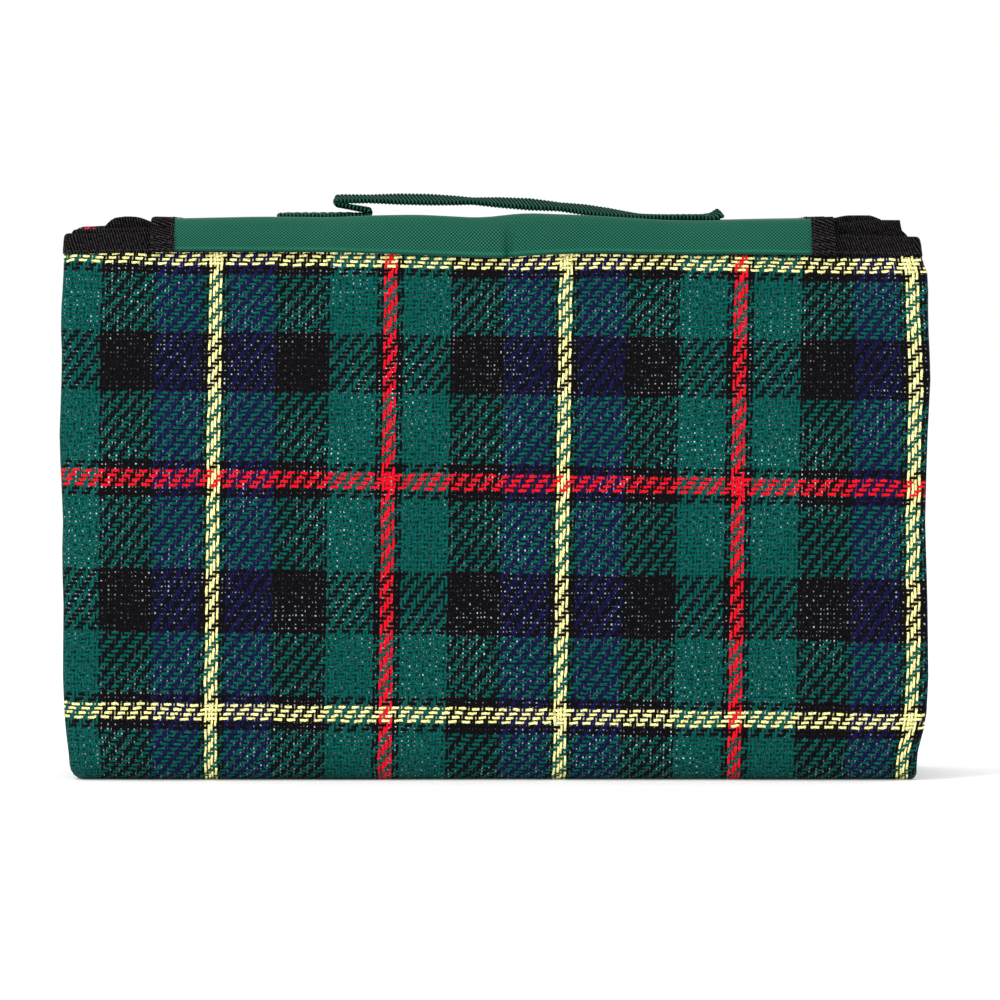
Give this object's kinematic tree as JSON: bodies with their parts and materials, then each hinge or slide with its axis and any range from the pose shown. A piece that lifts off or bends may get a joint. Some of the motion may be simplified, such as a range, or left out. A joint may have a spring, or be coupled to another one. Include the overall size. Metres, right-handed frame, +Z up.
{
  "type": "camp blanket",
  "caption": "Tartan picnic blanket with a foam core, folded into an upright pack that closes under a sewn flap with a webbing handle.",
  "frame": {"origin": "middle of the base of the closed blanket's bounding box, on the surface it stands on", "axes": "+X along the folded width, to the right seen from the front; +Z up; -Y out of the front panel, which the flap is sewn to"},
  "size_m": [0.3408, 0.0898, 0.2312],
  "materials": {
    "tartan_cloth": "matte",
    "pale_foam": "matte",
    "coated_backing": "satin",
    "ribbed_tape": "matte",
    "flap_cloth": "satin",
    "flap_lining": "matte",
    "loop_pile": "matte",
    "hook_pile": "matte",
    "handle_webbing": "matte"
  },
  "bodies": {
    "pack": {"face_cloth": "tartan_cloth", "foam_core": "pale_foam", "backing_sheet": "coated_backing", "binding_top": "ribbed_tape", "binding_end": "ribbed_tape", "binding_side_outer": "ribbed_tape", "binding_side_inner": "ribbed_tape", "flap_base_outer": "flap_cloth", "flap_base_lining": "flap_lining", "flap_base_binding_left": "ribbed_tape", "flap_base_binding_right": "ribbed_tape", "loop_tape": "loop_pile"},
    "flap_spine": {"flap_spine_outer": "flap_cloth", "flap_spine_lining": "flap_lining", "flap_spine_binding_left": "ribbed_tape", "flap_spine_binding_right": "ribbed_tape", "handle_end_left": "handle_webbing", "handle_fold_left": "handle_webbing", "handle_leg_right": "handle_webbing", "handle_end_right": "handle_webbing"},
    "flap_cover": {"flap_cover_outer": "flap_cloth", "flap_cover_lining": "flap_lining", "flap_cover_binding": "ribbed_tape", "hook_tape": "hook_pile"},
    "handle": {"handle_grip": "handle_webbing"}
  },
  "joints": [
    {"name": "flap_lift", "type": "hinge", "parent": "pack", "child": "flap_spine", "pos_m": [0, -0.0447, 0.222], "axis": [1, 0, 0], "range_deg": [0, 180]},
    {"name": "cover_open", "type": "hinge", "parent": "flap_spine", "child": "flap_cover", "pos_m": [0, 0.0449, 0.222], "axis": [1, 0, 0], "range_deg": [0, 180]},
    {"name": "handle_lift", "type": "slide", "parent": "flap_spine", "child": "handle", "axis": [0.36, 0, 0.933], "range_m": [0, 0.02], "deforming": ["handle_fold_left", "handle_leg_right"]}
  ]
}
